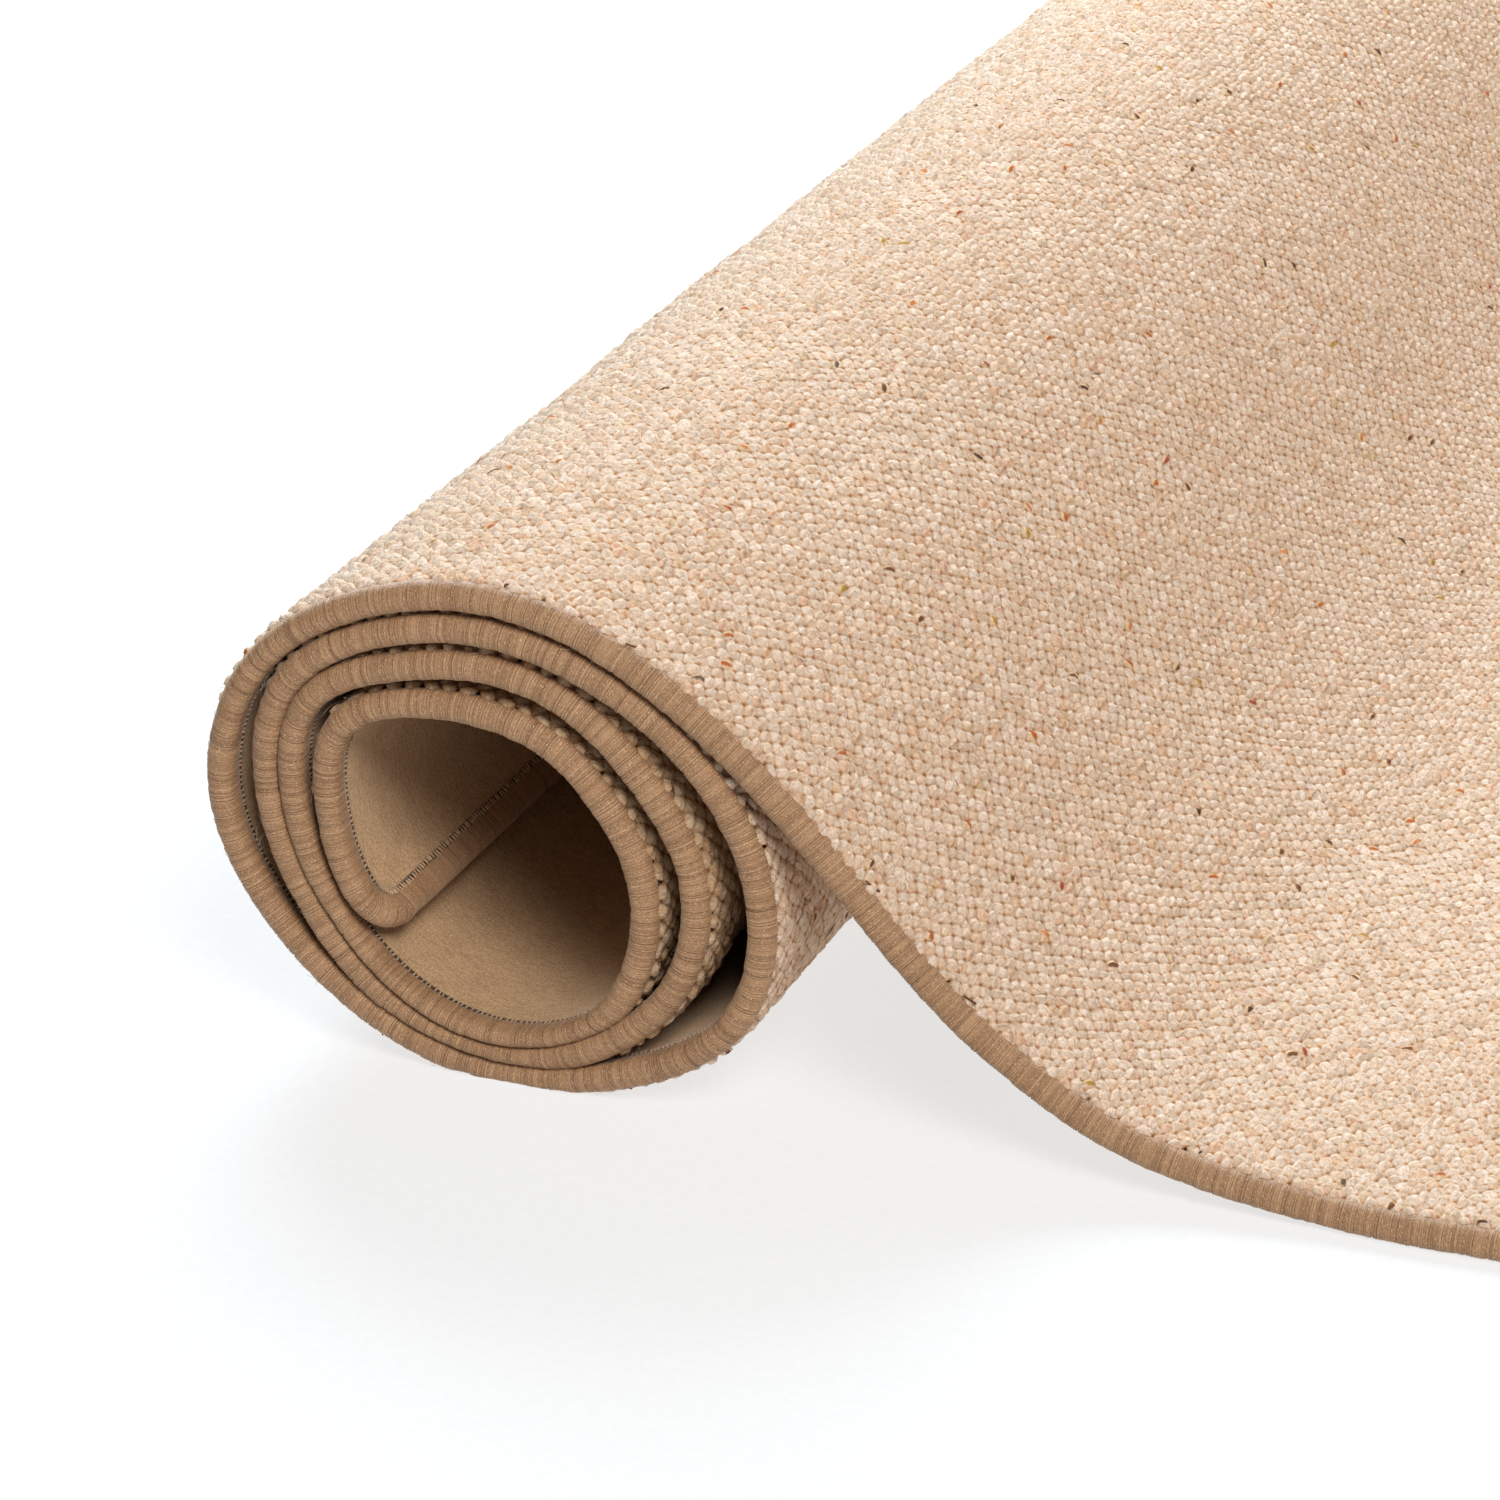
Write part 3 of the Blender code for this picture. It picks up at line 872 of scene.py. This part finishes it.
# Lumps that the pull of the threads leaves: their height, longest and shortest wave, number of waves and
# seed. The drift is the same, in and out from the edge, and no part of the bead goes past the cut edge by
# more than PAST_EDGE.
LUMPS = ((0.08 * MM, 14.0 * MM, 3.1 * MM, 6, 31), (0.07 * MM, 90.0 * MM, 22.0 * MM, 4, 32))
DRIFT = (0.16 * MM, 70.0 * MM, 9.0 * MM, 6, 33)
PAST_EDGE = 0.1 * MM


def thread_grooves(settings):
    """Lengths along the cut edge of the grooves between threads. The threads' widths are random."""
    count = round(EDGE.total / settings.thread_pitch)
    widths = 1.0 + UNEVEN_THREADS * (np.random.default_rng(21).random(count) - 0.5)
    grooves = np.concatenate([[0.0], np.cumsum(widths)])
    return grooves * EDGE.total / grooves[-1]


def bead(name, settings, along, relief):
    """The bead of yarn over a stretch of the cut edge: BEAD_SECTION carried along it, closed at both ends.

    At each place the section is pushed along its own normal, by the relief and by a slower lumpy wander that
    the pull of the threads leaves.
    """
    section = np.array(BEAD_SECTION) * MM
    edges = np.roll(section, -1, axis=0) - np.roll(section, 1, axis=0)
    normal = np.stack([edges[:, 1], -edges[:, 0]], axis=1) / np.linalg.norm(edges, axis=1)[:, None]
    normal[[0, -2, -1]] *= SECTION_END_SHARES
    lumps = sum(rise * waves(along, *kind) for rise, *kind in LUMPS)
    pushed = section[None] + normal[None] * (relief + lumps)[:, None, None]
    pushed[..., 0] += DRIFT[0] * waves(along, *DRIFT[1:])[:, None]
    run, across = EDGE.inside(along[:, None], np.maximum(pushed[..., 0], -PAST_EDGE))
    points = WINDING.place(run.ravel(), across.ravel(), pushed[..., 1].ravel(), EDGE_THICKNESS)
    grooves = thread_grooves(settings)
    both_ways = np.concatenate([grooves - EDGE.total, grooves[1:]])
    count = np.interp(along, both_ways, np.arange(1 - len(grooves), len(grooves)))
    way_round = lengths_along(section) / MM
    uv = np.stack(np.broadcast_arrays(count[:, None], way_round[None]), axis=-1).reshape(-1, 2)
    faces = tube_faces(len(along), len(section), closed=False)
    return carry(mesh_piece(name, points, faces, [finish_made(overcast_yarn)], uv))


class CARPET_OT_edge(Operator):
    """Makes the overcast edge: the front side thread by thread, and the other sides as a plainer bead"""

    bl_idname = "carpet.edge"
    bl_label = "Overcast Edge"

    def execute(self, context):
        settings = context.scene.carpet
        grooves = thread_grooves(settings)
        front_start, front_end = EDGE.front
        grooves = np.concatenate([grooves[:-1] - EDGE.total, grooves])
        grooves = grooves[(grooves > front_start) & (grooves < front_end)]
        crests = 0.5 * (grooves[1:] + grooves[:-1])
        along = np.empty(len(grooves) + len(crests) + 2)
        along[0], along[-1] = front_start, front_end
        along[1:-1:2], along[2:-1:2] = grooves, crests
        random = np.random.default_rng(22).random(len(along))
        deep = DEEP_GROOVE * np.clip(3.0 * (random - DEEP_CHANCE), 0.0, 1.0)
        risen = THREAD_RISE * (0.4 + 1.2 * random)
        relief = np.where(np.arange(len(along)) % 2 == 1, -GROOVE_DROP - deep, risen)
        relief[[0, -1]] = 0.0
        bead("edge_front", settings, along, relief)
        rest = EDGE.total + front_start - front_end
        along = np.linspace(front_end, EDGE.total + front_start, math.ceil(rest / PLAIN_STEP) + 1)
        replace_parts(bead("edge_rest", settings, along, np.zeros(len(along))), "serged_edge")
        return {"FINISHED"}


# A stitch is a short bar across the joint of binding and felt. Columns, in millimetres: in from the edge,
# down from the back of the cloth, half the bar's width.
STITCH_BAR = ((8.2, -0.15, 0.22), (8.9, 0.48, 0.34), (9.9, 0.42, 0.34), (10.6, -0.15, 0.22))

# Up to how much stitches differ by chance: their place in shares of the pitch, their depth, their width and
# their slant. The whole line wanders slowly in and out too: height, longest and shortest wave, number and
# seed.
STITCH_CHANCE = 0.4
STITCH_DEPTH_CHANCE = 0.5 * MM
STITCH_WIDTH_CHANCE = 0.4
STITCH_SLANT = 0.35
STITCH_WANDER = (0.2 * MM, 60.0 * MM, 12.0 * MM, 4, 42)

# Round the bar: across it in half widths, and down in shares of its thickness.
BAR_CORNERS = ((1.0, -0.25), (0.0, 1.0), (-1.0, -0.25))


class CARPET_OT_stitches(Operator):
    """Makes the line of stitches that ties the overcast yarn to the felt, on the back of the edge"""

    bl_idname = "carpet.stitches"
    bl_label = "Stitch Line"

    def execute(self, context):
        settings = context.scene.carpet
        count = round(EDGE.total / settings.stitch_pitch)
        random = np.random.default_rng(41)
        middle = (np.arange(count) + STITCH_CHANCE * random.random(count)) * EDGE.total / count
        bar = np.array(STITCH_BAR) * MM
        strayed = STITCH_DEPTH_CHANCE * (random.random(count) - 0.5)
        strayed += STITCH_WANDER[0] * waves(middle, *STITCH_WANDER[1:])
        depth = bar[None, :, 0] + strayed[:, None]
        fat = (0.8 + STITCH_WIDTH_CHANCE * random.random(count))[:, None]
        slant = (STITCH_SLANT * (random.random(count) - 0.5))[:, None]
        centre = middle[:, None] + slant * (depth - depth.mean(axis=1, keepdims=True))
        sides = []
        for across_bar, down in BAR_CORNERS:
            along = centre + across_bar * bar[None, :, 2] * fat
            sides.append((along, depth, -down * bar[None, :, 1] * fat))
        along, depth, height = (np.stack(values, axis=-1) for values in zip(*sides))
        run, across = EDGE.inside(along, depth)
        points = WINDING.place(run.ravel(), across.ravel(), height.ravel(), PILE_THICKNESS)
        faces = many_tubes(count, len(STITCH_BAR))
        finish = finish_made(plain_yarn, "stitching_thread", "#CBA987", 0.6, 0.3)
        carry(mesh_piece("stitch_line", points, faces, [finish]))
        return {"FINISHED"}


# Loose fibres are three-sided tubes with this many rings. They turn off the way out by up to FIBRE_TURN
# radians either way, and bend sideways by up to FIBRE_BEND of their length.
FIBRE_RINGS = 5
FIBRE_TURN = 1.3
FIBRE_BEND = 0.9

# A fibre's root, in millimetres: the least depth and height, and how much more by chance. The fibre stays
# deeper than FIBRE_TIP.
ROOT_DEPTH = (6.6, 2.4)
ROOT_HEIGHT = (8.8, 0.3)
FIBRE_TIP = 1.5 * MM

# Fibres stand up only from this run on, inside the roll, so that none shows on its outline.
RISING_RUN = SHOWN_RUN + 0.04


def loose_fibres(name, finish, count, reach, radius, seed):
    """Fibres that stand off the border, each a thin tube along its own slow curve.

    A fibre starts in the pile beside the binding and heads out over it. It bends sideways with the square of
    the way along. On the inner turns it also rises and sinks as a parabola does.
    """
    random = np.random.default_rng(seed)
    way = np.linspace(0.0, 1.0, FIBRE_RINGS)[None]
    length = reach * (0.5 + random.random((count, 1)))
    turn = FIBRE_TURN * (2.0 * random.random((count, 1)) - 1.0)
    bend = FIBRE_BEND * length * (2.0 * random.random((count, 1)) - 1.0)
    first, last = EDGE.front
    along = first + (last - first) * random.random((count, 1)) + length * np.sin(turn) * way + bend * way**2
    depth = (ROOT_DEPTH[0] + ROOT_DEPTH[1] * random.random((count, 1))) * MM - length * np.cos(turn) * way
    rise = length * random.random((count, 1)) * (EDGE.inside(along[:, :1], depth[:, :1])[0] > RISING_RUN)
    height = (ROOT_HEIGHT[0] + ROOT_HEIGHT[1] * random.random((count, 1))) * MM + rise * way * (1.3 - way)
    sideways = np.stack([np.gradient(depth, axis=1), -np.gradient(along, axis=1)], axis=-1)
    sideways *= radius / np.linalg.norm(sideways, axis=2, keepdims=True)
    corner = -2.0 * math.pi * np.arange(3) / 3.0
    along = along[..., None] + sideways[..., :1] * np.cos(corner)
    depth = depth[..., None] + sideways[..., 1:] * np.cos(corner)
    height = height[..., None] + radius * np.sin(corner)
    run, across = EDGE.inside(along.ravel(), np.maximum(depth.ravel(), FIBRE_TIP))
    points = WINDING.place(run, across, height.ravel(), PILE_THICKNESS)
    return carry(mesh_piece(name, points, many_tubes(count, FIBRE_RINGS), [finish]))


class CARPET_OT_fibres(Operator):
    """Makes the loose fibres along the front border: fine pale hairs, and a few short brown ends of yarn"""

    bl_idname = "carpet.fibres"
    bl_label = "Loose Fibres"

    def execute(self, context):
        hair = finish_made(plain_yarn, "loose_wool_hair", "#C9B59C", 0.9, 0.2)
        loose_fibres("loose_hairs", hair, 480, 4.5 * MM, 0.05 * MM, 61)
        brown = finish_made(plain_yarn, "loose_brown_yarn", "#6B4020", 1.0, 0.1)
        loose_fibres("brown_yarn_ends", brown, 26, 2.6 * MM, 0.40 * MM, 62)
        return {"FINISHED"}


# The cloth under the loops: felt on its back, and the loops' feet on its face.
FELT_RISE = 0.25 * MM
FEET_RISE = 6.5 * MM
CLOTH_RUN_STEP = 3.0 * MM
CLOTH_DEPTHS = (5.0, 9.0, 14.0, 24.0, 60.0, 140.0, 250.0, 400.0)

# The first and last rings stand this little inside the cloth's ends, where its rounded corners would meet in
# a point, and each corner has so many rings.
END_INSET = 0.02 * MM
CORNER_RINGS = 7


class CARPET_OT_cloth(Operator):
    bl_idname = "carpet.cloth"
    bl_label = "Felt-Backed Cloth"

    def execute(self, context):
        settings = context.scene.carpet
        length = WINDING.length
        first = CLOTH_DEPTHS[0] * MM
        radius = CORNER_RADIUS - first
        rounding = radius * (1.0 - np.cos(np.linspace(0.0, 0.5 * math.pi, CORNER_RINGS)))[1:-1]
        middle = np.linspace(first + radius, length - first - radius, math.ceil(length / CLOTH_RUN_STEP))
        start = np.concatenate([[first + END_INSET], first + rounding])
        end = np.concatenate([length - first - rounding[::-1], [length - first - END_INSET]])
        run = np.concatenate([start, middle, end])
        short = np.clip(radius - (np.minimum(run, length - run) - first), 0.0, radius)
        drawn_in = radius - np.sqrt(radius**2 - short**2)
        depths = np.array(CLOTH_DEPTHS) * MM
        share = (np.concatenate([depths, CARPET_WIDTH - depths[::-1]]) - first) / (CARPET_WIDTH - 2.0 * first)
        across = first + drawn_in[:, None] + share[None] * (CARPET_WIDTH - 2.0 * (first + drawn_in))[:, None]
        run = np.broadcast_to(run[:, None], across.shape)
        columns = across.shape[1]
        # A ring at each run: the back from front to back edge, then the face on the way home.
        ring_run = np.concatenate([run, run], axis=1)
        ring_across = np.concatenate([across, across[:, ::-1]], axis=1)
        on_back = np.arange(2 * columns) < columns
        height = np.where(on_back, FELT_RISE, FEET_RISE)[None] + 0.0 * ring_run
        points = WINDING.place(ring_run.ravel(), ring_across.ravel(), height.ravel(), PILE_THICKNESS)
        along, over = ring_run / settings.loop_along, ring_across / settings.loop_across
        loop_uv = np.stack([along + over, along - over], axis=-1) + 0.5
        felt_uv = np.stack([ring_run, ring_across], axis=-1) / MM
        uv = np.where(on_back[None, :, None], felt_uv, loop_uv).reshape(-1, 2)
        faces = tube_faces(len(run), 2 * columns, closed=False)
        is_back = np.arange(2 * columns) < columns - 1
        slots = np.concatenate([np.tile(is_back, len(run) - 1), [False, False]]).astype(np.int32)
        finishes = [finish_made(looped_wool_pile, settings), finish_made(needled_felt)]
        cloth = carry(mesh_piece("cloth", points, faces, finishes, uv, slots=slots))
        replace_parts(cloth, "carpet")
        return {"FINISHED"}


# The camera: its place, how far it has turned round the roll from straight in front, how far it looks down,
# and its lens on its film, in millimetres.
CAMERA_PLACE = (0.4843, -1.9907, 0.7807)
CAMERA_TURN = math.radians(21.6)
CAMERA_RISE = math.radians(23.7)
CAMERA_LENS = 134.4
FILM_WIDTH = 36.0

# The floor's half size and how far it lies below the carpet, and the strength of the light from all round.
FLOOR_HALF = 14.0
FLOOR_DROP = 0.3 * MM
SKY_STRENGTH = 0.18

# Each square light: its name, place, target, size, power as a share of the key power, and colour.
LIGHTS = (
    ("key", (1.5, -2.5, 2.8), (0.0, -0.2, 0.1), 1.5, 2.4, (1.0, 0.97, 0.94)),
    ("rim", (-1.5, 1.8, 2.1), (0.0, 0.1, 0.1), 1.5, 4.2, (0.70, 0.85, 0.98)),
    ("back", (0.8, 1.3, 1.3), (0.1, 0.3, 0.1), 0.8, 0.22, (1.0, 0.96, 0.92)),
)


def soft_light(name, place, target, size, power, colour):
    """A square area light at a place, turned towards a target."""
    light = bpy.data.lights.new(name, "AREA")
    light.shape = "SQUARE"
    light.size = size
    light.energy = power
    light.color = colour
    made = bpy.data.objects.new(name, light)
    made.location = place
    made.rotation_euler = (Vector(target) - Vector(place)).to_track_quat("-Z", "Y").to_euler()
    bpy.context.collection.objects.link(made)


class CARPET_OT_stage(Operator):
    """Makes the floor, the studio light and the camera"""

    bl_idname = "carpet.stage"
    bl_label = "Stage"

    def execute(self, context):
        settings = context.scene.carpet
        scene = context.scene
        side = np.array([(-1, -1), (1, -1), (1, 1), (-1, 1)]) * FLOOR_HALF
        corners = np.column_stack([side, np.full(4, -FLOOR_DROP)])
        floor = mesh_piece("floor", corners, [(0, 1, 2, 3)], [finish_made(seamless_paper, settings)])
        world = bpy.data.worlds.new("studio")
        world.use_nodes = True
        sky = world.node_tree.nodes["Background"]
        sky.inputs["Color"].default_value = (*settings.floor_colour, 1.0)
        sky.inputs["Strength"].default_value = SKY_STRENGTH
        scene.world = world
        for name, place, target, size, share, colour in LIGHTS:
            soft_light(name, place, target, size, share * settings.key_power, colour)
        camera = bpy.data.objects.new("camera", bpy.data.cameras.new("camera"))
        camera.data.lens = CAMERA_LENS
        camera.data.sensor_width = FILM_WIDTH
        camera.location = CAMERA_PLACE
        camera.rotation_euler = (0.5 * math.pi - CAMERA_RISE, 0.0, CAMERA_TURN)
        context.collection.objects.link(camera)
        scene.camera = camera
        scene.view_settings.view_transform = "Standard"
        return {"FINISHED"}


class CARPET_PT_panel(Panel):
    """Lists the settings and the steps, in the order in which they are made"""

    bl_idname = "CARPET_PT_panel"
    bl_label = "Rolled Up Carpet"
    bl_space_type = "VIEW_3D"
    bl_region_type = "UI"
    bl_category = "Carpet"

    def draw(self, context):
        settings = context.scene.carpet
        for name in CarpetSettings.__annotations__:
            self.layout.prop(settings, name)
        for step in STEPS:
            self.layout.operator(step.bl_idname)


STEPS = (
    CARPET_OT_stage, CARPET_OT_pile, CARPET_OT_edge, CARPET_OT_stitches, CARPET_OT_fibres, CARPET_OT_cloth)
CLASSES = (CarpetSettings, *STEPS, CARPET_PT_panel)


def register():
    """Registers the classes and puts the settings on the scene."""
    for each in CLASSES:
        bpy.utils.register_class(each)
    bpy.types.Scene.carpet = PointerProperty(type=CarpetSettings)


def unregister():
    """Takes the settings and the classes away again."""
    del bpy.types.Scene.carpet
    for each in reversed(CLASSES):
        bpy.utils.unregister_class(each)


def main():
    """Makes every piece in order."""
    register()
    for step in STEPS:
        section, name = step.bl_idname.split(".")
        getattr(getattr(bpy.ops, section), name)()


if __name__ == "__main__":
    main()
